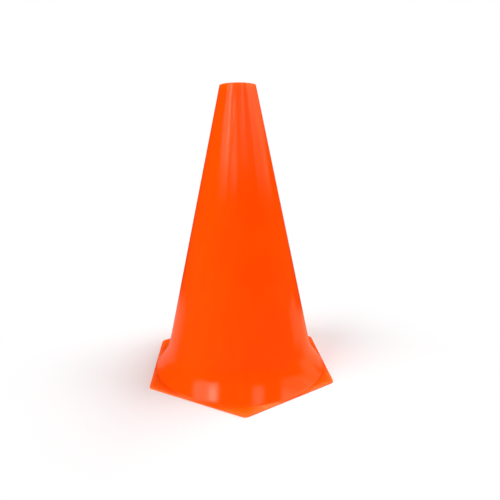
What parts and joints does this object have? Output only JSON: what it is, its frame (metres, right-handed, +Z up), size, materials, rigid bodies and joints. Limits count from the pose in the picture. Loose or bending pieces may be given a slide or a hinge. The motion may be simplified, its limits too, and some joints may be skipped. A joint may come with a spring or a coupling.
{
  "type": "sports marker cone",
  "caption": "Hollow tapered marker cone in glossy orange plastic, flared into a thin flat hexagonal base and open at the top for a training pole; marks lines and drills on a sports pitch.",
  "frame": {"origin": "on the floor under the middle of the cone: the centre of the base's flat underside, on the cone's axis", "axes": "+Z up along the cone's axis, with one corner of the hexagonal base pointing to -Y"},
  "size_m": [0.146, 0.1674, 0.23],
  "materials": {
    "cone_plastic": "glossy moulded polyethylene, saturated orange all through"
  },
  "bodies": {
    "root": {"mouth_ring": "cone_plastic", "cone_body": "cone_plastic", "flared_foot": "cone_plastic", "base_flange": "cone_plastic"}
  },
  "joints": []
}
